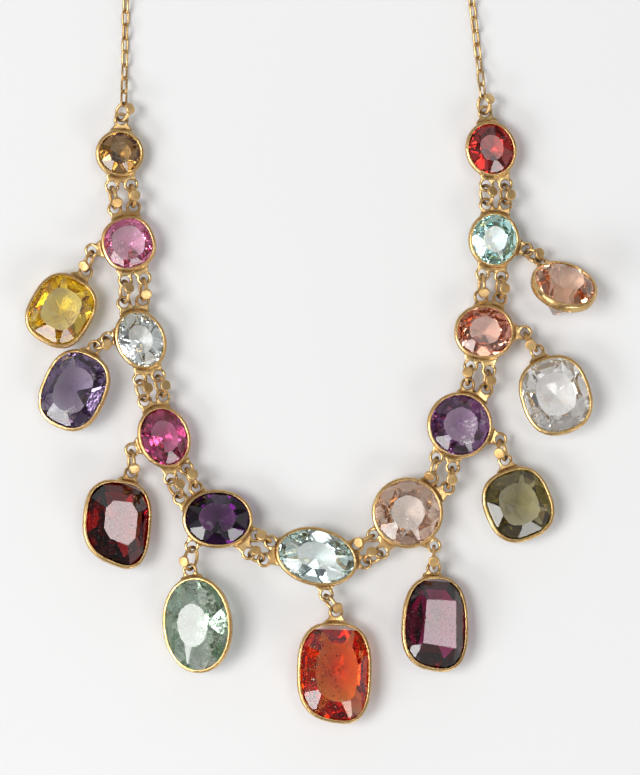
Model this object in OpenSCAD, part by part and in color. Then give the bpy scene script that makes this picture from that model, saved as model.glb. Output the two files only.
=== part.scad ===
// Gold fringe necklace: eleven collet-set stones joined by pairs of jump rings, nine stone drops,
// and a fine chain that closes the loop behind the neck. It lies flat on a surface, front towards -Y.

/* [Settings] */
// Gap between a stone's girdle and the gold band round it
stone_gap = 0.08; // [0.06:0.01:0.12]
// Thickness of the gold band
band_wall = 0.25; // [0.2:0.01:0.35]
// How far the band reaches below the girdle
band_drop = 0.85; // [0.7:0.05:1.2]
// How far the lip stands above the girdle
lip_rise = 0.5; // [0.46:0.01:0.56]
// How far the lip folds in over the stone
lip_reach = 0.14; // [0.08:0.01:0.18]

/* [Loops and rings] */
// Outer diameter of a loop soldered to a band
loop_d = 2.2; // [2.15:0.05:2.3]
// Thickness of the loop's wire
loop_wire = 0.38; // [0.34:0.01:0.4]
// Distance between the two loops of a pair
pair_spread = 2.84; // [2.6:0.02:3.1]
// Inner radius that a jump ring gives up to each loop it holds
ring_slack = 0.16; // [0.12:0.01:0.18]
// Smallest radius of a jump ring, at the middle of its wire
ring_least = 1.15; // [1.1:0.05:1.25]
// Largest radius of a jump ring, at the middle of its wire
ring_most = 1.7; // [1.65:0.05:1.75]
// Thickness of the jump ring's wire
ring_wire = 0.36; // [0.32:0.01:0.38]
// Diameter of the small gold disc on a jump ring
disc_d = 1.5; // [1.2:0.05:1.6]
// Thickness of that disc
disc_thick = 0.34; // [0.26:0.01:0.4]

/* [Stones] */
// Thickness of a stone's girdle edge
girdle = 0.2; // [0.12:0.01:0.22]
// Width of the culet's facet as a share of the stone's width
culet = 0.06; // [0.04:0.01:0.1]

/* [Chain] */
// Outer length of a chain link
link_len = 2.8; // [2.6:0.05:3]
// Outer width of a chain link
link_w = 1.36; // [1.3:0.02:1.5]
// Thickness of the chain's wire
link_wire = 0.32; // [0.28:0.01:0.32]
// Play between one link and the next
link_play = 0.14; // [0.13:0.01:0.17]
// Number of links in each side of the chain
links = 59; // [57:2:61]
// Radius of the bend that each side makes to reach the clasp
bend_r = 16; // [15:0.5:16.5]

/* [Clasp] */
// Diameter of the clasp's barrel
clasp_d = 2.6; // [2.2:0.1:3]

/* [Hidden] */
$fn = 48;
STEPS = 32;
NUDGE = 2;
SPAN = 40;

// Columns of a stone's row: place of its middle, half width, half length, turn, roundness of the outline,
// taper towards the foot, slant of the foot, table share, crown height, pavilion depth,
// lean of the stone, where it leans to, shift of the table, and cut
X = 0;
Y = 1;
HALF_W = 2;
HALF_L = 3;
TURN = 4;
ROUND = 5;
TAPER = 6;
SLANT = 7;
TABLE = 8;
CROWN = 9;
DEPTH = 10;
LEAN = 11;
TOWARD = 12;
OFF_X = 13;
OFF_Y = 14;
CUT = 15;

BRILLIANT = 0;
STEP_CUT = 1;
TABLE_CUT = 2;

STONE_NAMES = [
    "amber_round", "pink_cushion", "pale_aqua_oval", "magenta_oval", "deep_violet_oval",
    "centre_aqua_oval", "rose_oval", "violet_round", "peach_oval", "sky_blue_round", "red_round",
    "yellow_drop", "grey_violet_drop", "dark_red_drop", "sea_green_drop", "orange_drop",
    "plum_drop", "olive_drop", "clear_drop", "peach_drop"
];

STONES = [
    [-30.09, 35.18, 3.29, 3.23, 0, 2.0, 0, 0, 0.50, 1.10, 2.30, 7, 10, 0, 0, BRILLIANT],
    [-28.76, 21.63, 3.71, 3.83, 20, 2.25, 0, 0, 0.66, 0.95, 2.40, 6, 90, 0, 0, BRILLIANT],
    [-26.94, 7.16, 3.41, 4.31, 25, 2.0, 0, 0, 0.50, 1.40, 2.60, 6, 60, 0, 0, BRILLIANT],
    [-23.40, -7.46, 3.56, 4.46, 20, 2.0, 0, 0, 0.55, 1.20, 2.60, 7, 45, 0, 0, BRILLIANT],
    [-15.36, -19.73, 4.95, 4.07, -3, 2.1, 0, 0, 0.55, 1.50, 2.90, 8, 95, 0, 0, BRILLIANT],
    [-0.53, -25.40, 5.93, 4.02, -14, 2.0, 0, 0, 0.50, 1.75, 3.00, 9, 75, 0, 0, BRILLIANT],
    [13.14, -18.81, 5.03, 5.00, 0, 2.0, 0, 0, 0.50, 1.75, 2.90, 5, 70, 0, 0, BRILLIANT],
    [21.00, -5.66, 4.60, 4.64, 0, 2.0, 0, 0, 0.55, 1.45, 2.80, 6, 45, 0, 0, BRILLIANT],
    [24.69, 8.33, 4.19, 3.84, 0, 2.1, 0, 0, 0.55, 1.35, 2.60, 8, 80, 0, 0, BRILLIANT],
    [26.15, 22.20, 3.52, 3.88, 0, 2.0, 0, 0, 0.50, 1.10, 2.40, 7, 20, 0, 0, BRILLIANT],
    [25.70, 35.79, 3.50, 3.95, 15, 2.0, 0, 0, 0.50, 1.30, 2.50, 6, 70, 0, 0, BRILLIANT],
    [-38.87, 11.57, 4.48, 5.18, -30, 2.7, 0, 0, 0.60, 1.50, 2.90, 8, 60, 0, 0, BRILLIANT],
    [-36.90, -0.41, 4.58, 5.75, -24, 2.6, 0, 0, 0.60, 1.30, 3.00, 6, 150, 0, 0, BRILLIANT],
    [-30.45, -20.25, 4.85, 6.08, -6, 2.8, 0, 0.28, 0.50, 1.90, 3.10, 12, 30, 0.6, 0, STEP_CUT],
    [-18.41, -35.57, 4.95, 6.92, 5, 2.1, 0, 0, 0.46, 1.70, 3.30, 10, 175, -0.7, 0, BRILLIANT],
    [2.16, -42.74, 5.28, 7.18, -2, 2.8, 0, 0.15, 0.60, 1.90, 3.20, 7, 35, 0.4, 0, BRILLIANT],
    [17.28, -35.40, 4.72, 6.82, -3, 2.6, -0.06, 0.12, 0.50, 2.00, 3.10, 11, 35, 0.9, 0, TABLE_CUT],
    [29.76, -17.57, 4.80, 5.20, 22, 2.6, 0, 0, 0.60, 1.40, 2.90, 5, 60, 0, 0, BRILLIANT],
    [35.39, -1.17, 4.93, 5.64, 18, 2.5, 0, 0, 0.58, 1.50, 3.00, 8, 110, 0, 0, BRILLIANT],
    [36.60, 15.26, 4.75, 4.75, -18, 2.0, 0, 0, 0.55, 1.60, 5.70, 49, 72, 0, 0, BRILLIANT]
];

// Columns of a short girdle's row: the stone, how much its outline falls short at the loop end, and where
// that is, in degrees clockwise from the upper end
SHORT = 1;
SHORT_AT = 2;

SHORT_GIRDLES = [
    [13, 0.55, 18],
    [15, 0.8, 0],
    [16, 0.5, 1]
];

STONE_COLOURS = [
    "#9a7440", "#c4588f", "#cfe4e0", "#b0306f", "#2c1130", "#cfe2df", "#e2c2b0", "#6f4a96", "#d9977c",
    "#8fd3dc", "#a51f1f", "#c9ac2b", "#6d6285", "#5e0912", "#a9c9bb", "#d4521a", "#421026", "#6d6a2e",
    "#eceef0", "#dd9a76"
];

// Columns of a facet tier: count, turn of the first facet, steepness against the main facets,
// and where it meets the table plane as a share of the table, or 0 where it starts at the girdle
COUNT = 0;
FIRST = 1;
STEEP = 2;
MEETS = 3;

CROWN_TIERS = [
    [[8, 0, 1, 0], [16, 11.25, 1.35, 0], [8, 22.5, 0.84, 0.98], [32, 5.625, 1.6, 0]],
    [[8, 0, 1.4, 0], [8, 0, 1.08, 1], [32, 5.625, 1.6, 0]],
    [[4, 0, 1.05, 1], [4, 45, 1.5, 0], [8, 22.5, 1.4, 0], [32, 5.625, 1.6, 0]]
];
PAVILION_TIERS = [
    [[8, 0, 1, 0], [16, 11.25, 1.12, 0]],
    [[8, 0, 1.25, 0], [8, 0, 0.85, 1]],
    [[8, 0, 1.25, 0], [8, 0, 0.85, 1]]
];

// Columns of a pair's row: the two stones, the side shift of the loops on each, the distance between
// facing loops, and for the left and the right ring how far its disc lies to the right and onward
FROM = 0;
TO = 1;
SHIFT_FROM = 2;
SHIFT_TO = 3;
REACH = 4;
LEFT_DISC = 5;
RIGHT_DISC = 7;

PAIRS = [
    [0, 1, -0.23, -0.19, 3.45, -0.5, -0.15, -0.55, 0.55],
    [1, 2, 0.25, -0.43, 3.40, -0.6, 0.25, -0.7, -0.9],
    [2, 3, -0.10, -0.20, 3.40, -0.8, -0.3, -0.95, -0.5],
    [3, 4, -1.18, -1.63, 3.30, -0.45, -0.6, -0.9, -0.55],
    [4, 5, -1.62, -1.83, 2.60, -0.4, -0.6, -0.75, -0.6],
    [5, 6, -2.50, -2.20, 3.00, -0.25, -0.6, -0.85, 0.5],
    [6, 7, -1.88, -0.86, 3.10, -0.4, -0.9, 0.25, 0.25],
    [7, 8, -1.05, -0.70, 2.95, -0.3, 0.9, 0.45, 0.6],
    [8, 9, -0.40, -0.24, 3.40, 0.35, -0.65, 0.6, 0.15],
    [9, 10, -0.45, -0.54, 3.05, 0.85, 0.75, 0.75, 0.3]
];

// Columns of a hanging ring's row: the stone above, the drop, the loop on each, and the disc's place
DROP = 1;
HIGH_X = 2;
HIGH_Y = 3;
LOW_X = 4;
LOW_Y = 5;
DISC = 6;

HANGERS = [
    [1, 11, -34.27, 20.62, -35.25, 17.40, 0.4, 0.65],
    [2, 12, -31.85, 7.35, -33.85, 6.05, -0.7, -0.5],
    [3, 13, -28.25, -9.35, -28.41, -12.94, -0.55, 0.45],
    [4, 14, -19.21, -23.77, -19.53, -27.50, 0.95, 0.3],
    [5, 15, 0.93, -31.03, 2.40, -33.78, -0.6, 0.45],
    [6, 16, 17.11, -23.73, 17.11, -27.20, 0.05, 0.1],
    [7, 17, 27.01, -7.81, 27.82, -10.98, 0.6, 0.3],
    [8, 18, 30.75, 8.25, 32.67, 5.47, 0.35, 0.1],
    [9, 19, 31.02, 20.77, 33.20, 18.93, -0.8, 0.2]
];

// Columns of a chain end's row: the stone, its loop, the way the ring hangs, the disc's place,
// the heading of the chain and the side that it bends to
LOOP_X = 1;
LOOP_Y = 2;
RING_WAY = 3;
END_DISC = 4;
HEADING = 6;
BENDS = 7;

ENDS = [
    [0, -29.90, 40.22, 80, 1.05, 0.55, 89, -1],
    [10, 24.84, 41.34, 97, 0.9, 0.6, 96.6, 1]
];

// The middle of the whole loop, seen from above, becomes the origin
MIDDLE = [-1.35, 51.96, 0];

// The band's section: what is taken off its foot and lip, its shoulder, the lip's edge and its gap over
// the girdle
FOOT_EASE = 0.07;
SHOULDER = 0.15;
LIP_EASE = 0.12;
LIP_EDGE = 0.08;
LIP_CLEAR = 0.1;

// Loops, the webs that carry them, and the rings and discs
LOOP_R = (loop_d - loop_wire) / 2;
LOOP_LEVEL = -0.35;
LOOP_CLEAR = loop_d / 2 - loop_wire;
END_RING_R = 1.35;
END_RING_DIP = 0.12;
END_RING_INTO = 0.1;
DISC_SINK = 0.12;
WEB_THICK = 0.52;
WEB_BASE = 1.5;
WEB_BASE_ALONE = 1.95;
WEB_TIP = 0.8;
NECK_BACK = 0.2;
FINE_STEPS = 96;
WIRE_SIDES = 24;

// The chain: a link's bend radius and half length, its pitch, the roll of the links and the height it lies at
LINK_R = (link_w - link_wire) / 2;
LINK_END = (link_len - link_wire) / 2;
LINK_PITCH = 2 * LINK_END - link_wire - link_play;
CHAIN_LEN = 2 * LINK_END + (links - 1) * LINK_PITCH;
SWAY = 7;
SWAY_STEP = 47;
CHAIN_LEVEL = 0.64;
RISE_LEN = 6;

// The clasp: its height over the chain, its barrel's cone ends and middle bead, and its eyes
CLASP_RISE = 0.66;
CLASP_LEVEL = CHAIN_LEVEL + CLASP_RISE;
CLASP_R = clasp_d / 2;
CLASP_TAPER = 0.75;
BEAD_RISE = 0.12;
BEAD_HALF = 0.32;
EYE_R = 0.72;
EYE_WIRE = 0.36;
EYE_SINK = 0.2;
EYE_INTO = EYE_R - EYE_WIRE / 2 - link_wire / 2 - link_play;

function turned(angle) = [[cos(angle), -sin(angle), 0], [sin(angle), cos(angle), 0], [0, 0, 1]];
function leaned(angle) = [[cos(angle), 0, sin(angle)], [0, 1, 0], [-sin(angle), 0, cos(angle)]];
function unit(v) = v / norm(v);
function bent(v, power) = sign(v) * pow(abs(v), power);

// A point of a stone's girdle outline, and the outward direction there
function girdle_point(s, u) =
    let (across = bent(cos(u), 2 / s[ROUND]), along = bent(sin(u), 2 / s[ROUND]))
    [
        s[HALF_W] * across * (1 + s[TAPER] * along),
        s[HALF_L] * along - s[SLANT] * s[HALF_W] * across * (1 - along) / 2
    ];
function outward(s, u) =
    let (way = girdle_point(s, u + NUDGE) - girdle_point(s, u - NUDGE))
    unit([way[1], -way[0]]);
function outline(s, offset, steps = STEPS) =
    [for (i = [0 : steps - 1]) let (u = 360 * i / steps) girdle_point(s, u) + offset * outward(s, u)];

function ground(points, row) =
    let (way = [sin(row[SHORT_AT]), cos(row[SHORT_AT])], limit = max(points * way) - row[SHORT])
    [for (p = points) p - way * max(0, p * way - limit)];
function stone_outline(i) =
    let (rows = [for (row = SHORT_GIRDLES) if (row[0] == i) row], points = outline(STONES[i], 0))
    len(rows) == 0 ? points : ground(points, rows[0]);

// How a stone stands: turned in its own plane, then leaned over, then dropped until it touches the surface
function stance(s) = turned(s[TOWARD]) * leaned(s[LEAN]) * turned(s[TURN] - s[TOWARD]);
function seat(s) =
    let (frame = stance(s))
    -min(
        (frame * [0, 0, -girdle / 2 - s[DEPTH]])[2] - culet * s[HALF_L] * sin(s[LEAN]),
        min([for (p = outline(s, stone_gap + band_wall)) (frame * [p[0], p[1], -band_drop])[2]])
    );
function middle(s) = [s[X], s[Y], seat(s)];
function placed(s, p) = middle(s) + stance(s) * p;

// The point in a stone's loop plane that lies over a place on the surface
function under(s, place) =
    let (
        m = stance(s),
        gap = [place[0] - s[X] - m[0][2] * LOOP_LEVEL, place[1] - s[Y] - m[1][2] * LOOP_LEVEL],
        area = m[0][0] * m[1][1] - m[0][1] * m[1][0]
    )
    [(gap[0] * m[1][1] - gap[1] * m[0][1]) / area, (gap[1] * m[0][0] - gap[0] * m[1][0]) / area];
function loop_centre(s, place) =
    let (p = under(s, place))
    placed(s, [p[0], p[1], LOOP_LEVEL]);
function nearest(points, p) =
    let (gaps = [for (q = points) norm(q - p)], least = min(gaps))
    [for (i = [0 : len(points) - 1]) if (gaps[i] == least) points[i]][0];

// Places of the four loops of a pair: the two on the first stone, then the two on the next
function edge_reach(s, way) =
    max([
        for (p = outline(s, stone_gap + band_wall))
            let (q = stance(s) * [p[0], p[1], 0])
            q[0] * way[0] + q[1] * way[1]
    ]);
function pair_places(row) =
    let (
        a = STONES[row[FROM]],
        b = STONES[row[TO]],
        start = [a[X], a[Y]],
        way = unit([b[X], b[Y]] - start),
        side = [-way[1], way[0]],
        near = edge_reach(a, way),
        far = norm([b[X], b[Y]] - start) - edge_reach(b, -way),
        mid = start + way * (near + far) / 2
    )
    [
        for (end = [-1, 1], hand = [1, -1])
            let (shift = end < 0 ? row[SHIFT_FROM] : row[SHIFT_TO])
            mid + way * end * row[REACH] / 2 + side * (shift + hand * pair_spread / 2)
    ];

// Facet planes of a stone, each as its direction round the stone, its tilt and a point that it holds
function tier_planes(s, tier, height, table, level, up) =
    let (
        main = height / (1 - table),
        reach = tier[MEETS] == 0 ? 1 : tier[MEETS] * table + (1 - table) / tier[STEEP],
        apex = tier[STEEP] * main * reach,
        tip = up > 0 ? [s[OFF_X], s[OFF_Y]] : [0, 0]
    )
    [
        for (i = [0 : tier[COUNT] - 1])
            let (
                u = tier[FIRST] + 360 * i / tier[COUNT],
                way = outward(s, u),
                edge = reach * ((girdle_point(s, u) - tip) * way)
            )
            [atan2(way[1], way[0]), atan2(1 / edge, up / apex), [tip[0], tip[1], up * (level + apex)]]
    ];
function facet_planes(s) = concat(
    [for (t = CROWN_TIERS[s[CUT]]) each tier_planes(s, t, s[CROWN], s[TABLE], girdle / 2, 1)],
    [for (t = PAVILION_TIERS[s[CUT]]) each tier_planes(s, t, s[DEPTH], culet, girdle / 2, -1)]
);

// Where a jump ring lies: from one loop to the other, with its disc at a given place seen from above,
// as its middle, its three axes, its radius and the disc's turn round it
function ring_radius(gap) = max(ring_least, min(ring_most, gap / 2 - ring_slack));
function disc_out(r) = r + ring_wire / 2 + disc_thick / 2 - DISC_SINK;
function ring_frame(a, b, r, disc_right, disc_on) =
    let (
        on = unit(b - a),
        right = unit(cross(on, [0, 0, 1])),
        up = cross(right, on),
        spin = asin(disc_on / disc_out(r)),
        share = disc_right / disc_out(r) / cos(spin),
        top = share * right + sqrt(1 - share * share) * up
    )
    [(a + b) / 2, on, top, cross(on, top), r, spin];

// A chain side's route from above: straight on, then round the bend, at a distance from its start
function end_ring_start(e) = loop_centre(STONES[e[0]], [e[LOOP_X], e[LOOP_Y]]);
function end_ring_way(e) = [cos(e[RING_WAY]), sin(e[RING_WAY]), -END_RING_DIP];
function end_ring_middle(e) = end_ring_start(e) + unit(end_ring_way(e)) * (END_RING_R - END_RING_INTO);
function chain_start(e) =
    end_ring_middle(e) + unit(end_ring_way(e)) * (END_RING_R - ring_wire / 2 - link_wire / 2 - link_play);
function bend_turn(e) = e[BENDS] > 0 ? 180 - e[HEADING] : e[HEADING];
function straight_len(e) = CHAIN_LEN - bend_r * bend_turn(e) * PI / 180;
function heading_at(e, d) =
    e[HEADING] + e[BENDS] * min(bend_turn(e), max(0, (d - straight_len(e)) / bend_r * 180 / PI));
function plan_at(e, d) =
    let (
        h = e[HEADING],
        run = min(d, straight_len(e)),
        now = heading_at(e, d),
        start = chain_start(e),
        past = e[BENDS] * bend_r * [sin(now) - sin(h), cos(h) - cos(now)]
    )
    [start[0] + run * cos(h) + past[0], start[1] + run * sin(h) + past[1]];
function level_at(e, d) =
    let (start = chain_start(e)[2])
    CHAIN_LEVEL + max(0, (start - CHAIN_LEVEL) * (1 - d / RISE_LEN))
        + max(0, CLASP_RISE * (1 - (CHAIN_LEN - d) / RISE_LEN));
function chain_at(e, d) = concat(plan_at(e, d), [level_at(e, d)]);

module gold() {
    color("#c9a057") children();
}

module half_space(plane) {
    translate(plane[2])
        rotate([0, plane[1], plane[0]])
            translate([-SPAN / 2, -SPAN / 2, -SPAN])
                cube(SPAN);
}

module at_stance(s) {
    translate(middle(s))
        rotate([0, 0, s[TOWARD]])
            rotate([0, s[LEAN], 0])
                rotate([0, 0, s[TURN] - s[TOWARD]])
                    children();
}

module cut_stone(i) {
    s = STONES[i];
    color(STONE_COLOURS[i])
        at_stance(s)
            intersection() {
                translate([0, 0, -girdle / 2 - s[DEPTH]])
                    linear_extrude(girdle + s[DEPTH] + s[CROWN])
                        polygon(stone_outline(i));
                intersection_for (plane = facet_planes(s))
                    half_space(plane);
            }
}

// The band round a stone: its section, swept round the girdle outline
module band(s) {
    outer = stone_gap + band_wall;
    section = [
        [stone_gap, -band_drop],
        [outer - FOOT_EASE, -band_drop],
        [outer, -band_drop / 2],
        [outer, SHOULDER],
        [outer - LIP_EASE, lip_rise - LIP_EASE / 2],
        [LIP_EDGE / 2 - lip_reach, lip_rise],
        [-lip_reach, lip_rise - LIP_EDGE],
        [stone_gap, girdle / 2 + LIP_CLEAR]
    ];
    sides = len(section);
    points = [
        for (i = [0 : STEPS - 1], p = section)
            let (u = 360 * i / STEPS, q = girdle_point(s, u) + p[0] * outward(s, u))
            [q[0], q[1], p[1]]
    ];
    faces = [
        for (i = [0 : STEPS - 1], j = [0 : sides - 1])
            let (
                here = i * sides,
                next = (i + 1) % STEPS * sides,
                k = (j + 1) % sides
            )
            each [[here + j, next + k, next + j], [here + j, here + k, next + k]]
    ];
    polyhedron(points, faces);
}

module torus(r, wire) {
    rotate_extrude()
        translate([r, 0])
            circle(d = wire, $fn = WIRE_SIDES);
}

// A loop soldered to a band, on a web that flares out towards it
module loop_on(s, place, base = WEB_BASE) {
    p = under(s, place);
    rim = outline(s, stone_gap + band_wall / 2, FINE_STEPS);
    foot = nearest(rim, p);
    way = unit(p - foot);
    side = [-way[1], way[0]];
    neck = way * (norm(p - foot) - NECK_BACK);
    flare = [for (share = [0.2 : 0.2 : 1]) [share, WEB_TIP + (base - WEB_TIP) * pow(1 - share, 2)]];
    translate([p[0], p[1], LOOP_LEVEL])
        torus(LOOP_R, loop_wire);
    difference() {
        translate([0, 0, LOOP_LEVEL - WEB_THICK / 2])
            linear_extrude(WEB_THICK)
                polygon(concat(
                    [for (share = [1 : -1 / 3 : -1]) nearest(rim, foot + side * base * share)],
                    [for (f = flare) foot + neck * f[0] - side * f[1]],
                    [for (i = [len(flare) - 1 : -1 : 0]) foot + neck * flare[i][0] + side * flare[i][1]]
                ));
        translate([p[0], p[1], LOOP_LEVEL - WEB_THICK])
            cylinder(r = LOOP_CLEAR, h = 2 * WEB_THICK);
    }
}

module setting(i) {
    s = STONES[i];
    gold()
        at_stance(s) {
            band(s);
            for (row = PAIRS) {
                places = pair_places(row);
                if (row[FROM] == i) {
                    loop_on(s, places[0]);
                    loop_on(s, places[1]);
                }
                if (row[TO] == i) {
                    loop_on(s, places[2]);
                    loop_on(s, places[3]);
                }
            }
            for (row = HANGERS) {
                if (row[FROM] == i)
                    loop_on(s, [row[HIGH_X], row[HIGH_Y]]);
                if (row[DROP] == i)
                    loop_on(s, [row[LOW_X], row[LOW_Y]], WEB_BASE_ALONE);
            }
            for (row = ENDS)
                if (row[0] == i)
                    loop_on(s, [row[LOOP_X], row[LOOP_Y]], WEB_BASE_ALONE);
        }
}

// A jump ring with its gold disc
module jump_ring(frame) {
    c = frame[0];
    u = frame[1];
    v = frame[2];
    w = frame[3];
    multmatrix([
        [u[0], v[0], w[0], c[0]],
        [u[1], v[1], w[1], c[1]],
        [u[2], v[2], w[2], c[2]]
    ]) {
        torus(frame[4], ring_wire);
        rotate([0, 0, -frame[5]])
            translate([0, disc_out(frame[4]), 0])
                rotate([90, 0, 0])
                    cylinder(d = disc_d, h = disc_thick, center = true);
    }
}

module ring_between(a, b, disc_right, disc_on) {
    jump_ring(ring_frame(a, b, ring_radius(norm(b - a)), disc_right, disc_on));
}

module link_pair(row) {
    places = pair_places(row);
    a = STONES[row[FROM]];
    b = STONES[row[TO]];
    gold()
        for (hand = [0, 1]) {
            col = hand == 0 ? LEFT_DISC : RIGHT_DISC;
            ring_between(
                loop_centre(a, places[hand]), loop_centre(b, places[hand + 2]), row[col], row[col + 1]
            );
        }
}

module drop_links() {
    gold()
        for (row = HANGERS)
            ring_between(
                loop_centre(STONES[row[FROM]], [row[HIGH_X], row[HIGH_Y]]),
                loop_centre(STONES[row[DROP]], [row[LOW_X], row[LOW_Y]]),
                row[DISC], row[DISC + 1]
            );
}

module end_link(e) {
    c = end_ring_middle(e);
    way = unit(end_ring_way(e));
    gold()
        jump_ring(ring_frame(c - way, c + way, END_RING_R, e[END_DISC], e[END_DISC + 1]));
}

module chain_link() {
    for (end = [0, 180])
        rotate([0, 0, end])
            translate([LINK_END - LINK_R, 0, 0]) {
                rotate([0, 0, -90])
                    rotate_extrude(angle = 180)
                        translate([LINK_R, 0])
                            circle(d = link_wire, $fn = WIRE_SIDES);
                translate([0, LINK_R, 0])
                    rotate([0, -90, 0])
                        cylinder(d = link_wire, h = 2 * (LINK_END - LINK_R), $fn = WIRE_SIDES);
            }
}

module chain(e) {
    gold()
        for (i = [0 : links - 1]) {
            d = LINK_END + i * LINK_PITCH;
            behind = chain_at(e, d - 1);
            ahead = chain_at(e, d + 1);
            way = ahead - behind;
            roll = 45 + SWAY * sin(SWAY_STEP * i) + 90 * (i % 2);
            translate((ahead + behind) / 2)
                rotate([0, 0, atan2(way[1], way[0])])
                    rotate([roll, -asin(way[2] / norm(way)), 0])
                        chain_link();
        }
}

// A plain closed barrel with an eye at each end, held by the last links
module clasp() {
    left = plan_at(ENDS[0], CHAIN_LEN);
    right = plan_at(ENDS[1], CHAIN_LEN);
    gap = right - left;
    eye = norm(gap) / 2 - EYE_INTO;
    half = eye - EYE_R - EYE_WIRE / 2 + EYE_SINK;
    gold()
        translate([(left[0] + right[0]) / 2, (left[1] + right[1]) / 2, CLASP_LEVEL])
            rotate([0, 0, atan2(gap[1], gap[0])]) {
                rotate([0, 90, 0])
                    rotate_extrude()
                        polygon([
                            [0, -half],
                            [CLASP_R / 2, -half],
                            [CLASP_R - BEAD_RISE, CLASP_TAPER - half],
                            [CLASP_R - BEAD_RISE, -BEAD_HALF],
                            [CLASP_R, BEAD_RISE - BEAD_HALF],
                            [CLASP_R, BEAD_HALF - BEAD_RISE],
                            [CLASP_R - BEAD_RISE, BEAD_HALF],
                            [CLASP_R - BEAD_RISE, half - CLASP_TAPER],
                            [CLASP_R / 2, half],
                            [0, half]
                        ]);
                for (hand = [-1, 1])
                    translate([hand * eye, 0, 0])
                        rotate([45 * hand, 0, 0])
                            torus(EYE_R, EYE_WIRE);
            }
}

module laid_out() {
    translate(-MIDDLE)
        children();
}

for (i = [0 : len(STONES) - 1]) {
    laid_out() cut_stone(i);
    laid_out() setting(i);
}
for (i = [0 : len(PAIRS) - 1])
    laid_out() link_pair(PAIRS[i]);
laid_out() drop_links();
laid_out() end_link(ENDS[0]);  // end_link_left
laid_out() end_link(ENDS[1]);  // end_link_right
laid_out() chain(ENDS[0]);  // chain_left
laid_out() chain(ENDS[1]);  // chain_right
laid_out() clasp();
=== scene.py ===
import math

import bpy
import numpy as np
from mathutils import Matrix, Vector, noise


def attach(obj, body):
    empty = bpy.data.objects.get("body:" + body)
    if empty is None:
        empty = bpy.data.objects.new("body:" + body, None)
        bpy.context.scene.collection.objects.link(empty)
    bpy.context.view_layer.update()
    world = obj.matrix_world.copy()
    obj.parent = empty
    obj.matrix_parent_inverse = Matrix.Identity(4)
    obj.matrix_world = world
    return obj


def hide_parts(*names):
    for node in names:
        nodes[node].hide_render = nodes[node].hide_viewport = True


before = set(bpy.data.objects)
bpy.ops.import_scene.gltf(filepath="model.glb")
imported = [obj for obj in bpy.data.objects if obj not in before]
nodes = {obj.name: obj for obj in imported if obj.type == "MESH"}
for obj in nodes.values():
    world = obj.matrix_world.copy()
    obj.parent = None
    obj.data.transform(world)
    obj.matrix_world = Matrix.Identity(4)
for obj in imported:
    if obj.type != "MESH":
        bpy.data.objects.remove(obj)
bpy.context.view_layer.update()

# Gold fringe necklace with twenty faceted stones, lying on a pale table.
# Lengths are metres unless a name ends in Mm, and the shared frame has +Y towards the back of the neck.

studio = bpy.context.scene
mm = 0.001
print("frame loaded,", len(nodes), "nodes")


# Camera, lights and table

cameraSettings = {
    "centreX": 1.35 * mm,
    "centreY": -51.96 * mm,
    "height": 620 * mm,
    "focusLevel": 3.5 * mm,
    "fieldLong": 116.25 * mm,  # what the long side of the picture covers
    "sensor": 36,
    "nearest": 0.01,
    "farthest": 20,
}

lightTarget = (0, -50 * mm, 3 * mm)
lampShare = 4  # Blender spreads a lamp's watts over four times its area
lightSettings = {
    # name: azimuth from +X, angle off the vertical, distance, width, depth, radiance, colour
    "keyLeft": (184, 33, 2.00, 0.96, 0.96, 7.5, (1.0, 0.995, 0.985)),
    "fillUpperRight": (27, 20.5, 1.30, 0.25, 0.25, 4.4, (1.0, 1.0, 0.995)),
    "hazeOverhead": (69, 12.4, 1.30, 0.125, 0.27, 1.3, (1.0, 1.0, 1.0)),
    "windowLowLeft": (217, 61, 1.60, 1.05, 0.39, 6.6, (1.0, 1.0, 1.0)),
    "windowLowRight": (302, 61, 1.60, 0.81, 0.39, 4.6, (1.0, 1.0, 1.0)),
}

skySettings = {
    "dark": (0.12, 0.12, 0.125),
    "overhead": (0.46, 0.46, 0.465),
    "horizon": (0.84, 0.84, 0.845),
    "patchScale": 1.7,
    "patches": (0.42, 0.56),
    "lowToHigh": (0.15, 0.8),  # sine of the height where the horizon's colour starts to give way, and is gone
    "litAbove": (0.86, 0.96),  # the same for the ceiling, which has no dark patch
    "strength": 1.0,
}

tableSettings = {
    "size": 5.0,
    "colour": (0.70, 0.70, 0.70),
    "patchShade": 0.985,
    "patchScale": 9,
    "grainScale": 2600,
    "grainDepth": 0.02 * mm,
    "roughness": 0.62,
    "grainRoughness": 0.1,
    "shine": 0.3,
}


def makeCamera(s):
    data = bpy.data.cameras.new("cameraAbove")
    data.sensor_width = s["sensor"]
    data.lens = s["sensor"] * (s["height"] - s["focusLevel"]) / s["fieldLong"]
    data.clip_start = s["nearest"]
    data.clip_end = s["farthest"]
    camera = bpy.data.objects.new("cameraAbove", data)
    camera.location = (s["centreX"], s["centreY"], s["height"])
    studio.collection.objects.link(camera)
    studio.camera = camera


def makeLights(settings):
    target = Vector(lightTarget)
    for name, (azimuth, off, distance, width, depth, radiance, colour) in settings.items():
        a, o = math.radians(azimuth), math.radians(off)
        way = Vector((math.cos(a) * math.sin(o), math.sin(a) * math.sin(o), math.cos(o)))
        data = bpy.data.lights.new(name, "AREA")
        data.shape = "RECTANGLE"
        data.size, data.size_y = width, depth
        data.energy = radiance * width * depth * lampShare
        data.color = colour
        light = bpy.data.objects.new(name, data)
        light.location = target + way * distance
        side = Vector((-math.sin(a), math.cos(a), 0))
        turn = Matrix((side, way.cross(side), way)).transposed()
        light.rotation_mode = "QUATERNION"
        light.rotation_quaternion = turn.to_quaternion()
        studio.collection.objects.link(light)


def link(ob):
    studio.collection.objects.link(ob)
    return ob


makeCamera(cameraSettings)
makeLights(lightSettings)
print("camera and lights placed")


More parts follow.
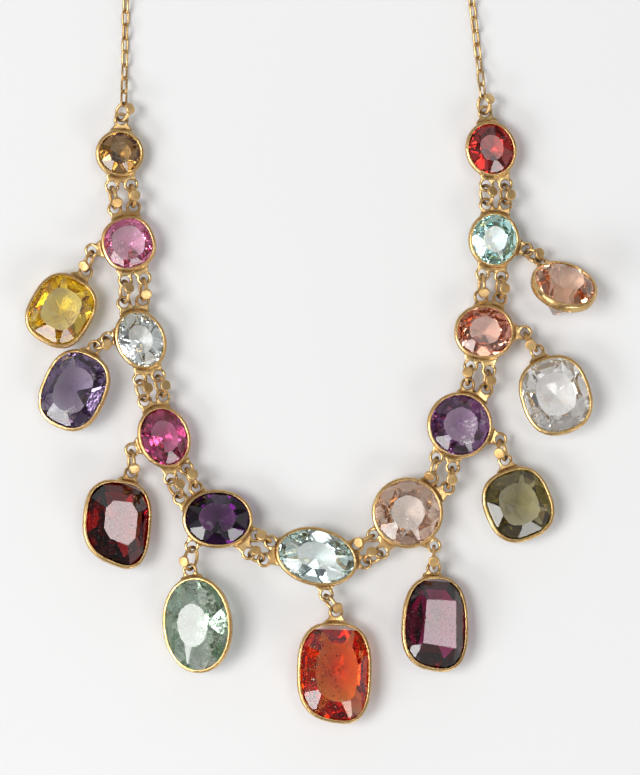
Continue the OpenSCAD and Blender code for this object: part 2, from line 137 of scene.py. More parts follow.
# Shader tools: sums on a Flow add Math nodes, and Finish.add makes every other node

class Flow:
    def __init__(self, finish, socket):
        self.finish = finish
        self.socket = socket

    def maths(self, operation, *others):
        return self.finish.add("ShaderNodeMath", {"operation": operation}, dict(enumerate((self, *others))))

    def __add__(self, other):
        return self.maths("ADD", other)

    def __mul__(self, other):
        return self.maths("MULTIPLY", other)

    def __radd__(self, other):
        return self + other

    def held(self):
        return self.finish.add("ShaderNodeClamp", {}, {"Value": self})

    def ranged(self, low, high):
        # 0 at low and 1 at high, with a soft start and end
        return self.finish.add("ShaderNodeMapRange", {"interpolation_type": "SMOOTHSTEP"}, {
            "Value": self,
            "From Min": low,
            "From Max": high,
        })


class Finish:
    def __init__(self, name, world=False):
        self.owner = bpy.data.worlds.new(name) if world else bpy.data.materials.new(name)
        self.owner.use_nodes = True
        self.tree = self.owner.node_tree
        self.tree.nodes.clear()
        self.out = self.tree.nodes.new("ShaderNodeOutputWorld" if world else "ShaderNodeOutputMaterial")

    def add(self, kind, settings=None, values=None, output=0):
        node = self.tree.nodes.new(kind)
        for key, value in (settings or {}).items():
            setattr(node, key, value)
        for key, value in (values or {}).items():
            socket = node.inputs[key]
            if isinstance(value, Flow):
                self.tree.links.new(value.socket, socket)
            elif isinstance(value, tuple) and len(value) == 3 and socket.type == "RGBA":
                socket.default_value = (*value, 1)
            else:
                socket.default_value = value
        return Flow(self, node.outputs[output])

    def place(self):
        return self.add("ShaderNodeTexCoord", output="Object")

    def cloud(self, scale, detail=3.0, rough=0.5, warp=0.0, where=None):
        return self.add("ShaderNodeTexNoise", {}, {
            "Vector": where or self.place(),
            "Scale": scale,
            "Detail": detail,
            "Roughness": rough,
            "Distortion": warp,
        })

    def tint(self, factor, a, b):
        # on a Mix node set to colours, sockets 6 and 7 take the colours and output 2 gives the mix
        return self.add("ShaderNodeMix", {"data_type": "RGBA"}, {"Factor": factor, 6: a, 7: b}, 2)

    def carries(self, name):
        return self.add("ShaderNodeAttribute", {"attribute_name": name}, output="Fac")

    def raisedBy(self, height, depth, strength=1.0):
        return self.add("ShaderNodeBump", {}, {"Height": height, "Distance": depth, "Strength": strength})

    def show(self, flow, socket="Surface"):
        self.tree.links.new(flow.socket, self.out.inputs[socket])
        return self.owner


def makeSky(s):
    # a room with pale and dark parts, paler towards the horizon, for the facets and the gold to mirror
    sky = Finish("softRoom", world=True)
    way = sky.add("ShaderNodeTexCoord", output="Generated")
    height = sky.add("ShaderNodeSeparateXYZ", values={0: way}, output=2)
    shade = sky.tint(height.maths("ABSOLUTE").ranged(*s["lowToHigh"]), s["horizon"], s["overhead"])
    patch = sky.cloud(s["patchScale"], 1, 0.4, where=way).ranged(*s["patches"])
    shade = sky.tint((patch + height.ranged(*s["litAbove"])).held(), s["dark"], shade)
    return sky.show(sky.add("ShaderNodeBackground", {}, {"Color": shade, "Strength": s["strength"]}))


studio.world = makeSky(skySettings)


def makeTable(s):
    half = s["size"] / 2
    corners = [(x * half, y * half, 0) for x, y in ((-1, -1), (1, -1), (1, 1), (-1, 1))]
    mesh = bpy.data.meshes.new("paleTable")
    mesh.from_pydata(corners, [], [(0, 1, 2, 3)])
    table = link(bpy.data.objects.new("paleTable", mesh))
    card = Finish("paleCard")
    patch = card.cloud(s["patchScale"], 3)
    grain = card.cloud(s["grainScale"], 2)
    shaded = tuple(c * s["patchShade"] for c in s["colour"])
    surface = card.add("ShaderNodeBsdfPrincipled", {}, {
        "Base Color": card.tint(patch.ranged(0.3, 0.7), s["colour"], shaded),
        "Roughness": grain * s["grainRoughness"] + s["roughness"],
        "Specular IOR Level": s["shine"],
        "Normal": card.raisedBy(grain, s["grainDepth"], 0.3),
    })
    mesh.materials.append(card.show(surface))


makeTable(tableSettings)
print("table laid")


# Gold: a worn, hand-made finish, with tarnish and painted shade that darken it in the corners

goldSettings = {
    "bright": (0.72, 0.495, 0.225),
    "deep": (0.53, 0.325, 0.125),
    "tarnish": (0.115, 0.056, 0.021),
    "deepPatches": (0.3, 0.72),
    "dirtyRecess": (0.15, 0.85),
    "crowdedMm2": (0.04, 0.44),  # other gold within a short reach, where the tarnish and painted shade start and where they are full
    "dirtyPatches": (0.6, 0.8),
    "recessDirt": 0.8,
    "crowdDirt": (0.4, 0.8),  # painted shade and tarnish everywhere in a crowd, and in its patches on top of that
    "patchDirt": 0.15,
    "roughness": 0.20,
    "unevenRoughness": 0.12,
    "dirtRoughness": 0.2,
    "scratchRoughness": 0.08,
    "patchScale": 520,
    "scratchScale": 5200,
    "bumpDepth": 0.012 * mm,
}


def makeGold(name, s):
    gold = Finish(name)
    patch = gold.cloud(s["patchScale"], 4, 0.55)
    fine = gold.cloud(s["scratchScale"], 3, 0.6, 0.6)
    # painted shade mixed with tarnish: the gold darkens in hollow corners and where other gold crowds round
    # it, standing in for the shade that falls there, and the cloud's patches add real dirt
    recess = gold.carries("recess").ranged(*s["dirtyRecess"])
    crowd = gold.carries("crowd").ranged(*s["crowdedMm2"])
    always, patchy = s["crowdDirt"]
    shadeAndDirt = recess * s["recessDirt"] + crowd * (patch * patchy + always)
    shadeAndDirt = (shadeAndDirt + patch.ranged(*s["dirtyPatches"]) * s["patchDirt"]).held()
    rough = s["roughness"] + patch.ranged(0.3, 0.7) * s["unevenRoughness"]
    rough = rough + shadeAndDirt * s["dirtRoughness"] + fine.ranged(0.5, 0.8) * s["scratchRoughness"]
    clean = gold.tint(patch.ranged(*s["deepPatches"]), s["bright"], s["deep"])
    surface = gold.add("ShaderNodeBsdfPrincipled", {}, {
        "Base Color": gold.tint(shadeAndDirt, clean, s["tarnish"]),
        "Metallic": 1.0,
        "Roughness": rough,
        "Normal": gold.raisedBy(patch * 0.7 + fine * 0.3, s["bumpDepth"], 0.7),
    })
    return gold.show(surface)


wornGold = makeGold("wornGold", goldSettings)
satinGold = makeGold("satinGold", {**goldSettings, "bright": (0.76, 0.53, 0.25), "roughness": 0.36})


def read(items, key, width=1, kind=float):
    # one property of all the items, as an array
    values = np.empty(len(items) * width, dtype=kind)
    items.foreach_get(key, values)
    return values.reshape(-1, width) if width > 1 else values


def carry(mesh, name, kind, values):
    # gives each point of the mesh a value of its own
    field = "vector" if kind == "FLOAT_VECTOR" else "value"
    mesh.attributes.new(name, kind, "POINT").data.foreach_set(field, np.array(values).ravel())


def islands(count, edges):
    # gives all points that edges join the same label
    label = np.arange(count)
    while True:
        low = np.minimum(label[edges[:, 0]], label[edges[:, 1]])
        new = label.copy()
        np.minimum.at(new, edges[:, 0], low)
        np.minimum.at(new, edges[:, 1], low)
        new = new[new]
        if (new == label).all():
            return label
        label = new


weldsPerMm = 1e4  # points that fall on the same step of this grid are one


def solidsOf(node):
    # the node's closed solids, as points in millimetres and triangles
    mesh = node.data
    corners = read(mesh.loops, "vertex_index", kind=np.int64)
    steps = np.round(read(mesh.vertices, "co", 3) * (weldsPerMm / mm)).astype(np.int64)
    spots, where = np.unique(steps, axis=0, return_inverse=True)
    faces = where.reshape(-1)[corners].reshape(-1, 3)
    a, b, c = faces.T
    faces = faces[(a != b) & (b != c) & (c != a)]
    label = islands(len(spots), np.concatenate([faces[:, :2], faces[:, 1:]]))
    for mark in np.unique(label[faces[:, 0]]):
        own = faces[label[faces[:, 0]] == mark]
        used, local = np.unique(own, return_inverse=True)
        yield spots[used] / weldsPerMm, local.reshape(-1, 3)


softSettings = {
    "voxelMm": 0.06,
    "filletMm": 0.24,
    "plumpMm": 0.045,
    "smoothPasses": 4,
    "smoothing": 0.5,
    "waveMm": 0.030,
    "waveScale": 0.55,
    "dentMm": 0.012,
    "dentScale": 1.9,
    "seedSteps": (7.31, 3.17, 5.53),  # how far the pattern moves from one node to the next
}


def evaluated(ob):
    return bpy.data.meshes.new_from_object(ob.evaluated_get(bpy.context.evaluated_depsgraph_get()))


def softened(points, faces, s, target):
    # a closed solid gets rounded edges and filled corners, as solder leaves them
    mesh = bpy.data.meshes.new("rough")
    mesh.from_pydata(points.tolist(), [], faces.tolist())
    ob = link(bpy.data.objects.new("rough", mesh))
    for kind, values in (
        ("REMESH", {"mode": "VOXEL", "voxel_size": s["voxelMm"]}),
        ("DISPLACE", {"strength": s["filletMm"], "mid_level": 0.0}),
        ("REMESH", {"mode": "VOXEL", "voxel_size": s["voxelMm"]}),
        ("DISPLACE", {"strength": s["plumpMm"] - s["filletMm"], "mid_level": 0.0}),
        ("SMOOTH", {"factor": s["smoothing"], "iterations": s["smoothPasses"]}),
        ("TRIANGULATE", {}),
    ):
        modifier = ob.modifiers.new(kind.title(), kind)
        for key, value in values.items():
            setattr(modifier, key, value)
    full = evaluated(ob)
    ob.modifiers.clear()
    ob.data = full
    modifier = ob.modifiers.new("Decimate", "DECIMATE")
    modifier.ratio = min(1.0, target / max(1, len(full.polygons)))
    done = evaluated(ob)
    bpy.data.objects.remove(ob)
    return read(done.vertices, "co", 3), np.array([p.vertices[:] for p in done.polygons])


def vertexNormals(points, faces):
    a, b, c = (points[faces[:, i]] for i in range(3))
    across = np.cross(b - a, c - a)
    normals = np.zeros_like(points)
    for i in range(3):
        np.add.at(normals, faces[:, i], across)
    tiniest = 1e-12  # keeps a point without faces from a division by 0
    return normals / np.maximum(np.linalg.norm(normals, axis=1, keepdims=True), tiniest)


def recessOf(points, faces, passes=4, fullMm=0.012):
    # 1 in hollow corners and below 0 on edges, softened over the neighbours
    normals = vertexNormals(points, faces)
    edges = np.concatenate([faces[:, [0, 1]], faces[:, [1, 2]], faces[:, [2, 0]]])
    count = np.maximum(np.bincount(edges.ravel(), minlength=len(points)), 1)[:, None]

    def spread(values):
        total = np.zeros_like(values)
        np.add.at(total, edges[:, 0], values[edges[:, 1]])
        np.add.at(total, edges[:, 1], values[edges[:, 0]])
        return total / count

    bend = ((spread(points) - points) * normals).sum(axis=1, keepdims=True)
    for _ in range(passes):
        bend = spread(bend)
    return bend[:, 0] / fullMm


def unevened(points, normals, s, seed):
    offset = Vector([seed * step for step in s["seedSteps"]])
    push = np.array([
        noise.noise(Vector(p) * s["waveScale"] + offset) * s["waveMm"]
        + noise.noise(Vector(p) * s["dentScale"] - offset) * s["dentMm"]
        for p in points
    ])
    return points + normals * push[:, None]


def dressGold(name, seed, target, settings, material):
    made, count = [], 0
    solids = list(solidsOf(nodes[name]))
    for points, faces in solids:
        points, faces = softened(points, faces, settings, target / len(solids))
        recess = recessOf(points, faces)
        points = unevened(points, vertexNormals(points, faces), settings, seed)
        made.append((points, faces + count, recess, np.full(len(points), count, dtype=np.int32)))
        count += len(points)
    points, faces, recess, marks = (np.concatenate(rows) for rows in zip(*made))
    mesh = bpy.data.meshes.new(name + "Gold")
    mesh.from_pydata((points * mm).tolist(), [], faces.tolist())
    mesh.polygons.foreach_set("use_smooth", np.ones(len(mesh.polygons), dtype=bool))
    carry(mesh, "recess", "FLOAT", recess)
    carry(mesh, "solid", "INT", marks)
    mesh.materials.append(material)
    return dressed(mesh, name, name + "Gold")


def dressed(mesh, name, label):
    piece = link(bpy.data.objects.new(label, mesh))
    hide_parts(name)
    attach(piece, "root")
    return piece


ringSettings = {**softSettings, "plumpMm": 0.085}
goldKinds = {
    # part of the node's name: triangles, form, finish
    "setting": (13000, softSettings, wornGold),
    "link_pair": (9000, ringSettings, satinGold),
    "drop_links": (36000, ringSettings, satinGold),
    "end_link": (4500, ringSettings, satinGold),
    "clasp": (9000, softSettings, wornGold),
}
goldPieces = []
for seed, name in enumerate(sorted(nodes)):
    for key, kind in goldKinds.items():
        if key in name:
            goldPieces.append(dressGold(name, seed, *kind))
print("gold settings and rings dressed")


# Chains: one link, set on the place and turn of each CAD link

chainSettings = {
    # the names of the node tree's inputs
    "Link length": 2.80 * mm,
    "Link width": 1.36 * mm,
    "Wire": 0.36 * mm,
    "Wire sides": 8,
    "Bend steps": 4,
    "Unevenness": 0.03,
    "Seed": 5,
}


def growTree(name, inputs):
    # an empty node tree with these inputs, and a function that adds nodes to it
    tree = bpy.data.node_groups.new(name, "GeometryNodeTree")
    make = tree.interface.new_socket
    make(name="Geometry", in_out="INPUT", socket_type="NodeSocketGeometry")
    for key, value in inputs.items():
        kind = {int: "NodeSocketInt", float: "NodeSocketFloat"}.get(type(value), "NodeSocketMaterial")
        socket = make(name=key, in_out="INPUT", socket_type=kind)
        socket.default_value = value
    make(name="Geometry", in_out="OUTPUT", socket_type="NodeSocketGeometry")
    start, end = tree.nodes.new("NodeGroupInput"), tree.nodes.new("NodeGroupOutput")

    def add(kind, settings=None, values=None, output=0):
        node = tree.nodes.new(kind)
        for key, value in (settings or {}).items():
            setattr(node, key, value)
        for key, value in (values or {}).items():
            if isinstance(value, bpy.types.NodeSocket):
                tree.links.new(value, node.inputs[key])
            else:
                node.inputs[key].default_value = value
        return node.outputs[output]

    return tree, start.outputs, end.inputs[0], add


def carriedVector(add, name):
    return add("GeometryNodeInputNamedAttribute", {"data_type": "FLOAT_VECTOR"}, {"Name": name})


def setOnPoints(add, given, shape, size):
    # the shape on each point, turned by the point's own angles
    placed = add("GeometryNodeInstanceOnPoints", {}, {
        "Points": given["Geometry"],
        "Instance": shape,
        "Rotation": add("FunctionNodeEulerToRotation", {}, {"Euler": carriedVector(add, "turn")}),
        "Scale": size,
    })
    solid = add("GeometryNodeRealizeInstances", {}, {"Geometry": placed})
    return add("GeometryNodeSetMaterial", {}, {"Geometry": solid, "Material": given["Material"]})


nearlyHalf = 0.4999  # of a link's width, so that the bends at its ends don't meet


def chainTree(inputs):
    tree, given, result, add = growTree("chainLinks", inputs)

    def maths(operation, a, b):
        return add("ShaderNodeMath", {"operation": operation}, {0: a, 1: b})

    longWay = maths("SUBTRACT", given["Link length"], given["Wire"])
    wide = maths("SUBTRACT", given["Link width"], given["Wire"])
    frameLine = add("GeometryNodeCurvePrimitiveQuadrilateral", {}, {"Width": longWay, "Height": wide})
    bent = add("GeometryNodeFilletCurve", {"mode": "POLY"}, {
        "Curve": frameLine,
        "Radius": maths("MULTIPLY", wide, nearlyHalf),
        "Count": given["Bend steps"],
    })
    ring = add("GeometryNodeCurvePrimitiveCircle", {}, {
        "Resolution": given["Wire sides"],
        "Radius": maths("MULTIPLY", given["Wire"], 0.5),
    })
    wire = add("GeometryNodeCurveToMesh", {}, {"Curve": bent, "Profile Curve": ring})
    wire = add("GeometryNodeSetShadeSmooth", {}, {"Geometry": wire, "Shade Smooth": True})
    # sockets 2 and 3 of Random Value are the ends of its range, and output 1 is its number
    less = maths("SUBTRACT", 1.0, given["Unevenness"])
    size = add("FunctionNodeRandomValue", {"data_type": "FLOAT"}, {2: less, 3: 1.0, "Seed": given["Seed"]}, 1)
    tree.links.new(setOnPoints(add, given, wire, size), result)
    return tree


def grown(points, carried, tree, values):
    # grows a tree on a set of points that carry vectors of their own
    start = bpy.data.meshes.new("points")
    start.from_pydata([tuple(p) for p in points], [], [])
    for key, vectors in carried.items():
        carry(start, key, "FLOAT_VECTOR", vectors)
    ob = link(bpy.data.objects.new("points", start))
    modifier = ob.modifiers.new("grow", "NODES")
    modifier.node_group = tree
    for item in tree.interface.items_tree:
        if item.in_out == "INPUT" and item.name in values:
            modifier[item.identifier] = values[item.name]
    mesh = evaluated(ob)
    bpy.data.objects.remove(ob)
    return mesh


def dressChain(name, tree):
    middles, turns = [], []
    for points, _ in solidsOf(nodes[name]):
        boxMiddle = (points.min(axis=0) + points.max(axis=0)) / 2
        middle = points.mean(axis=0) * 0.5 + boxMiddle * 0.5
        _, axes = np.linalg.eigh(np.cov((points - middle).T))  # sorted from the flat way to the long way
        longWay, flat = Vector(axes[:, 2]), Vector(axes[:, 0])
        turn = Matrix((longWay, flat.cross(longWay), flat)).transposed()
        middles.append(middle * mm)
        turns.append(turn.to_euler())
    mesh = grown(middles, {"turn": turns}, tree, {**chainSettings, "Material": wornGold})
    mesh.name = name + "Links"
    return dressed(mesh, name, mesh.name)


links = chainTree({**chainSettings, "Material": wornGold})
goldPieces += [dressChain(name, links) for name in ("chain_left", "chain_right")]
print("chains linked")


# Painted shade and tarnish: how crowded each point of the gold is

crowdSettings = {
    "cellMm": 0.3,
    "margin": 3,  # cells past the ends, so that blurring stays inside the grid
    "chainShare": 0.12,  # a chain's own links aren't told apart, so less of its crowd counts
    "rubbed": 0.7,  # what faces up has been wiped, and takes less of the painted shade
    "rubbedPower": 3,
}


def blurred(grid):
    for axis in (0, 1, 2, 0, 1, 2):
        grid = np.roll(grid, 1, axis) + grid + np.roll(grid, -1, axis)
    return grid / 27


def cellAreas(cells, areas, low, high):
    grid = np.zeros(high - low)
    np.add.at(grid, tuple((cells - low).T), areas)
    return blurred(grid)


def readGold(piece, s):
    mesh = piece.data
    points, centres = (
        (read(items, key, 3) / mm / s["cellMm"]).round().astype(int)
        for items, key in ((mesh.vertices, "co"), (mesh.polygons, "center"))
    )
    marks = mesh.attributes.get("solid")
    solid = read(marks.data, "value", kind=np.int32) if marks else None
    up = read(mesh.vertices, "normal", 3)[:, 2].clip(0, 1)
    return {
        "mesh": mesh,
        "points": points,
        "centres": centres,
        "areas": read(mesh.polygons, "area") / mm / mm,
        "solid": solid,
        "faceSolid": solid[[p.vertices[0] for p in mesh.polygons]] if marks else None,
        "kept": 1 - s["rubbed"] * up ** s["rubbedPower"],
    }


def markCrowding(pieces, s):
    # how much gold of other solids lies round each point, in square millimetres, which is where painted shade
    # and tarnish go
    found = [readGold(piece, s) for piece in pieces]
    margin = s["margin"]
    low = np.min([f["points"].min(axis=0) for f in found], axis=0) - margin
    high = np.max([f["points"].max(axis=0) for f in found], axis=0) + margin + 1
    centres, areas = (np.concatenate([f[key] for f in found]) for key in ("centres", "areas"))
    allGold = cellAreas(centres, areas, low, high)
    for f in found:
        points, solid = f["points"], f["solid"]
        crowd = allGold[tuple((points - low).T)]
        if solid is None:
            crowd = crowd * s["chainShare"]
        else:
            for mark in np.unique(solid):
                mine, faces = solid == mark, f["faceSolid"] == mark
                start, end = points[mine].min(axis=0) - margin, points[mine].max(axis=0) + margin + 1
                own = cellAreas(f["centres"][faces], f["areas"][faces], start, end)
                crowd[mine] -= own[tuple((points[mine] - start).T)]
        carry(f["mesh"], "crowd", "FLOAT", crowd * f["kept"])


markCrowding(goldPieces, crowdSettings)
# the gold now carries its mask of tarnish and painted shade
print("gold tarnished")


# Stones: each keeps its cut from the frame, and gets its own body colour

def stone(through, ior=1.6, haze=0.0, dust=0.3, ripple=0.15, specks=None, veils=None):
    # through is the light left after five millimetres of the stone, and haze is a dull film on the table
    return {
        "through": through, "ior": ior, "haze": haze, "dust": dust, "ripple": ripple,
        "specks": specks, "veils": veils,
    }


# specks and veils: how many, the smallest and largest in millimetres, and the way from the middle
# where most of them lie
stoneSettings = {
    "amber_round": stone((0.52, 0.33, 0.12), 1.62, veils=(2, 0.8, 1.6, (-0.5, -0.3))),
    "pink_cushion": stone((0.94, 0.48, 0.70), 1.60, haze=0.06, veils=(3, 1.2, 2.6, (-0.4, -0.5))),
    "pale_aqua_oval": stone((0.95, 0.985, 0.975), 1.60, veils=(2, 1.0, 2.0, (0.2, -0.5))),
    "magenta_oval": stone((0.69, 0.20, 0.39), 1.62, veils=(2, 1.0, 2.2, (0.5, 0.5))),
    "deep_violet_oval": stone((0.17, 0.025, 0.20), 1.60),
    "centre_aqua_oval": stone((0.89, 0.975, 0.97), 1.60, veils=(2, 1.0, 2.0, (-0.4, 0.4))),
    "rose_oval": stone((0.95, 0.84, 0.77), 1.60, haze=0.05, veils=(4, 1.2, 2.6, (0.3, -0.4))),
    "violet_round": stone((0.50, 0.31, 0.53), 1.58, haze=0.04, ripple=0.3, veils=(9, 1.0, 2.6, (0.45, 0.1))),
    "peach_oval": stone((0.90, 0.59, 0.48), 1.62, ripple=0.1),
    "sky_blue_round": stone((0.76, 0.998, 0.999), 1.72, haze=0.17, ripple=0.1),
    "red_round": stone((0.68, 0.11, 0.09), 1.66),
    "yellow_drop": stone((0.93, 0.76, 0.15), 1.64, haze=0.05, ripple=0.2, veils=(5, 1.2, 3.0, (0.0, -0.5))),
    "grey_violet_drop": stone((0.49, 0.41, 0.56), 1.60, ripple=0.3, veils=(5, 1.0, 2.4, (0.5, -0.3))),
    "dark_red_drop": stone((0.44, 0.022, 0.03), 1.74, dust=1.0, specks=(16, 0.12, 0.26, (-0.3, 0.0))),
    "sea_green_drop": stone((0.67, 0.78, 0.69), 1.60, haze=0.14, ripple=0.5,
                            veils=(18, 1.2, 3.4, (0.8, 0.0))),
    "orange_drop": stone((0.90, 0.22, 0.02), 1.62, dust=0.08, ripple=0.04,
                         specks=(260, 0.12, 0.42, (-0.75, -0.1)), veils=(7, 1.0, 2.6, (-0.6, 0.1))),
    "plum_drop": stone((0.40, 0.02, 0.16), 1.65, dust=1.0, specks=(46, 0.12, 0.28, (-0.7, 0.1))),
    "olive_drop": stone((0.48, 0.44, 0.24), 1.60, specks=(5, 0.14, 0.28, (0.2, 0.1))),
    "clear_drop": stone((0.995, 0.995, 0.99), 1.68, haze=0.19, veils=(2, 1.0, 2.0, (0.3, -0.4))),
    "peach_drop": stone((0.99, 0.79, 0.66), 1.60, ripple=0.2),
}


gemSettings = {
    "throughDepth": 5 * mm,  # how much stone the light crosses for each stone's through
    "densityMargin": 1.02,  # keeps the strongest loss just short of a full colour
    "rippledBelow": (-0.1 * mm, -0.4 * mm),  # from the girdle, where the pavilion's ripple starts and is full
    "filmedAbove": (-0.08 * mm, -0.02 * mm),  # from the table, where the film starts and is full
    "wanderScale": (420, 13),  # for the first stone, and what each next one adds
    "waveScale": (1300, 31),
    "moteScale": (5200, 90),
    "speckScale": 3400,
    "blotScale": 1500,
    "waveDepth": 0.05 * mm,
    "polish": (0.004, 0.015, 0.10),  # roughness everywhere, in patches and in specks
    "paleDust": (0.94, 0.93, 0.91),
    "greyDust": (0.78, 0.75, 0.72),
    "blot": (0.26, 0.20, 0.19),
    "moteShare": 0.4,
    "blotShare": 0.42,
}


def stoneAxis(ob, upEnough=0.5, sideEnough=0.05):
    # the direction that the table faces, and the middle of the girdle
    mesh = ob.data
    normals = np.array([p.normal[:] for p in mesh.polygons])
    areas = np.array([p.area for p in mesh.polygons])
    centres = np.array([p.center[:] for p in mesh.polygons])
    keys, where = np.unique(np.round(normals, 2), axis=0, return_inverse=True)
    total = np.bincount(where.reshape(-1), areas) * (keys[:, 2] > upEnough)
    axis = keys[total.argmax()] / np.linalg.norm(keys[total.argmax()])
    girdle = abs(normals @ axis) < sideEnough
    return axis, np.average(centres[girdle], axis=0, weights=areas[girdle])


def makeStone(name, own, s, seed):
    ob = nodes[name + "_stone"]
    axis, middle = stoneAxis(ob)
    table = max((Vector(axis).dot(v.co) for v in ob.data.vertices)) - axis @ middle
    gem = Finish(name + "Gem")
    away, along = {"operation": "SUBTRACT"}, {"operation": "DOT_PRODUCT"}
    shifted = gem.add("ShaderNodeVectorMath", away, {0: gem.place(), 1: tuple(middle)})
    level = gem.add("ShaderNodeVectorMath", along, {0: shifted, 1: tuple(axis)}, "Value")
    below = level.ranged(*s["rippledBelow"])
    onTable = level.ranged(*(table + step for step in s["filmedAbove"]))
    scales = {key: s[key][0] + s[key][1] * seed for key in ("wanderScale", "waveScale", "moteScale")}
    wander = gem.cloud(scales["wanderScale"], 3, 0.5, 0.3, where=shifted)
    waves = gem.cloud(scales["waveScale"], 2, 0.5, 0.2, where=shifted)
    specks = gem.cloud(s["speckScale"], 2, 0.5, where=shifted)
    even, patchy, speckled = s["polish"]
    polished = gem.add("ShaderNodeBsdfPrincipled", {}, {
        "Base Color": gem.tint(wander.ranged(0.3, 0.7), (1, 1, 1), (0.96, 0.955, 0.95)),
        "Roughness": specks.ranged(0.62, 0.8) * speckled + wander.ranged(0.5, 0.8) * patchy + even,
        "IOR": own["ior"],
        "Transmission Weight": 1.0,
        "Normal": gem.raisedBy(waves * below * own["ripple"] + specks * 0.03, s["waveDepth"], 0.8),
    })
    blots = gem.cloud(s["blotScale"], 5, 0.7, 0.6, where=shifted).ranged(0.50, 0.68) * onTable * own["dust"]
    film = gem.add("ShaderNodeBsdfPrincipled", {}, {
        "Base Color": gem.tint(blots, gem.tint(wander, s["paleDust"], s["greyDust"]), s["blot"]),
        "Roughness": 0.55 + specks * 0.2,
    })
    motes = gem.cloud(scales["moteScale"], 1, 0.5, where=shifted).ranged(0.68, 0.75)
    dull = motes * (onTable * 0.6 + 0.4) * own["dust"] * s["moteShare"] + blots * s["blotShare"]
    dull = (dull + onTable * (wander * 0.6 + 0.7) * own["haze"]).held()
    loss = [-math.log(t) / s["throughDepth"] for t in own["through"]]
    density = max(loss) * s["densityMargin"]
    body = gem.add("ShaderNodeVolumeAbsorption", {}, {
        "Color": tuple(1 - k / density for k in loss),
        "Density": density,
    })
    gem.show(body, "Volume")
    surface = gem.add("ShaderNodeMixShader", {}, {0: dull, 1: polished, 2: film})
    ob.material_slots[0].material = gem.show(surface)


# Inclusions: small grains and thin crumpled veils inside the stones

inclusionLooks = {
    "grain": {"dark": (0.07, 0.02, 0.015), "pale": (0.95, 0.88, 0.80), "patchScale": 1500},
    "veil": {
        "pale": (0.98, 0.97, 0.95),
        "grey": (0.80, 0.78, 0.76),
        "patchScale": 1500,
        "holes": (0.42, 0.60),  # of the cloud pattern, where the veil starts and is full
        "fullest": 0.95,
    },
}


def makeGrain(s):
    grain = Finish("stoneGrain")
    light = grain.cloud(s["patchScale"], 1).ranged(0.46, 0.54)
    return grain.show(grain.add("ShaderNodeBsdfPrincipled", {}, {
        "Base Color": grain.tint(light, s["dark"], s["pale"]),
        "Roughness": 0.25 + light * 0.2,
    }))


def makeVeil(s):
    veil = Finish("stoneVeil")
    cover = veil.cloud(s["patchScale"], 5, 0.65, 0.4)
    return veil.show(veil.add("ShaderNodeBsdfPrincipled", {}, {
        "Base Color": veil.tint(cover, s["pale"], s["grey"]),
        "Roughness": 0.15 + cover * 0.3,
        "Alpha": cover.ranged(*s["holes"]) * s["fullest"],
    }))


def inclusionTree(kind, inputs):
    # sets a grain or a veil on each point, turned and sized by the point's own vectors
    tree, given, result, add = growTree("stone" + kind.title(), inputs)
    if kind == "grain":
        shape = add("GeometryNodeMeshIcoSphere", {}, {"Radius": given["Reach"], "Subdivisions": 1})
    else:
        sheet = add("GeometryNodeMeshGrid", {}, {
            "Size X": given["Reach"],
            "Size Y": given["Reach"],
            "Vertices X": given["Rows"],
            "Vertices Y": given["Rows"],
        })
        crumple = add("ShaderNodeTexNoise", {}, {"Scale": given["Crumple"], "Detail": 2.0})
        lift = add("ShaderNodeMath", {"operation": "MULTIPLY"}, {0: crumple, 1: given["Lift"]})
        shape = add("GeometryNodeSetPosition", {}, {
            "Geometry": sheet, "Offset": add("ShaderNodeCombineXYZ", {}, {"Z": lift}),
        })
    shape = add("GeometryNodeSetShadeSmooth", {}, {"Geometry": shape, "Shade Smooth": True})
    tree.links.new(setOnPoints(add, given, shape, carriedVector(add, "size")), result)
    return tree


inclusionSettings = {
    # the names of the node trees' inputs
    "grain": {"Reach": 0.5 * mm, "Material": makeGrain(inclusionLooks["grain"])},
    "veil": {
        "Reach": 1.0 * mm,
        "Rows": 7,
        "Crumple": 900.0,
        "Lift": 0.5 * mm,
        "Material": makeVeil(inclusionLooks["veil"]),
    },
}
inclusionTrees = {kind: inclusionTree(kind, values) for kind, values in inclusionSettings.items()}
scatterSettings = {
    "clear": {"grain": 0.12 * mm, "veil": 0.35 * mm},  # from the facets
    "draws": 6000,
    "everywhere": 0.25,  # the chance at the stone's middle, which rises towards the leaning side
    "sliver": 0.001 * mm * mm,  # facets below this area are too thin to have a true direction
    "narrowest": 0.6,
    "firstSeed": 40,
}


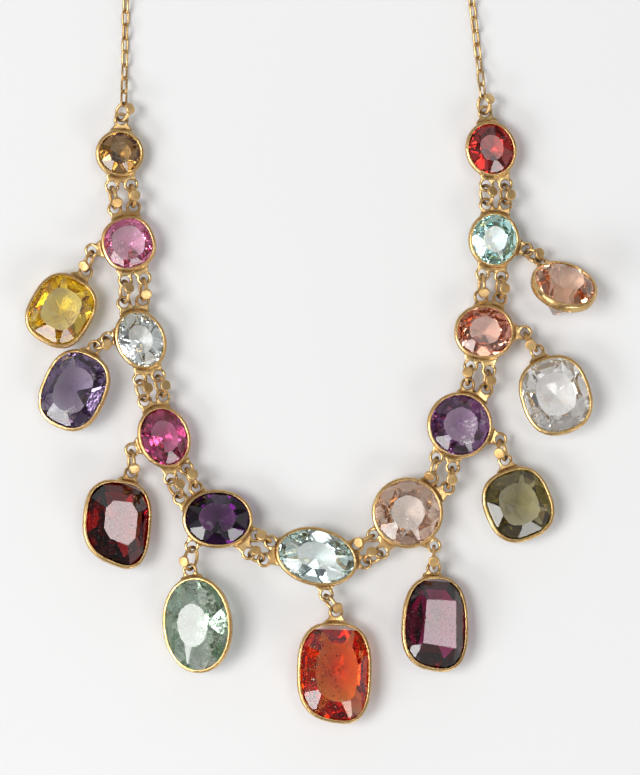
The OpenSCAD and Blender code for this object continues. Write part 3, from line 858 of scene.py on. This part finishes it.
def spotsInside(ob, count, lean, clear, chance, s):
    # places inside a convex stone, thicker towards the leaning side
    mesh = ob.data
    facets = [f for f in mesh.polygons if f.area > s["sliver"]]
    normals = np.array([f.normal[:] for f in facets])
    heights = (normals * np.array([f.center[:] for f in facets])).sum(axis=1)
    points = np.array([v.co[:] for v in mesh.vertices])
    low, high = points.min(axis=0), points.max(axis=0)
    spots = chance.uniform(low, high, (s["draws"], 3))
    way = ((spots - (low + high) / 2) / (high - low) * 2)[:, :2] @ np.array(lean)
    inside = (spots @ normals.T < heights - clear).all(axis=1)
    return spots[inside & (chance.uniform(size=s["draws"]) < s["everywhere"] + way)][:count]


def fillStone(name, kind, wanted, seed, s):
    count, small, large, lean = wanted
    chance = np.random.RandomState(seed)
    spots = spotsInside(nodes[name + "_stone"], count, lean, s["clear"][kind], chance, s)
    count = len(spots)
    sizes = (small + (large - small) * chance.uniform(size=count) ** 2)[:, None]
    sizes = sizes * chance.uniform(s["narrowest"], 1.0, (count, 3))
    if kind == "veil":
        sizes[:, 2] = 1
    turns = chance.uniform(-math.pi, math.pi, (count, 3))
    mesh = grown(spots, {"turn": turns, "size": sizes}, inclusionTrees[kind], inclusionSettings[kind])
    mesh.name = name + kind.title() + "s"
    piece = link(bpy.data.objects.new(mesh.name, mesh))
    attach(piece, "root")
    name + "_stone"


for seed, (name, own) in enumerate(stoneSettings.items()):
    makeStone(name, own, gemSettings, seed)
    for kind, wanted in (("grain", own["specks"]), ("veil", own["veils"])):
        if wanted:
            fillStone(name, kind, wanted, scatterSettings["firstSeed"] + seed, scatterSettings)
print("stones coloured")


renderSettings = {
    "use_denoising": True,
    "max_bounces": 24,
    "transmission_bounces": 20,
    "glossy_bounces": 8,
    "transparent_max_bounces": 12,
    "caustics_reflective": True,
    "caustics_refractive": True,
    "blur_glossy": 0.3,
    "sample_clamp_indirect": 12,
}
for key, value in renderSettings.items():
    setattr(studio.cycles, key, value)
studio.view_settings.view_transform = "Standard"
studio.view_settings.look = "None"
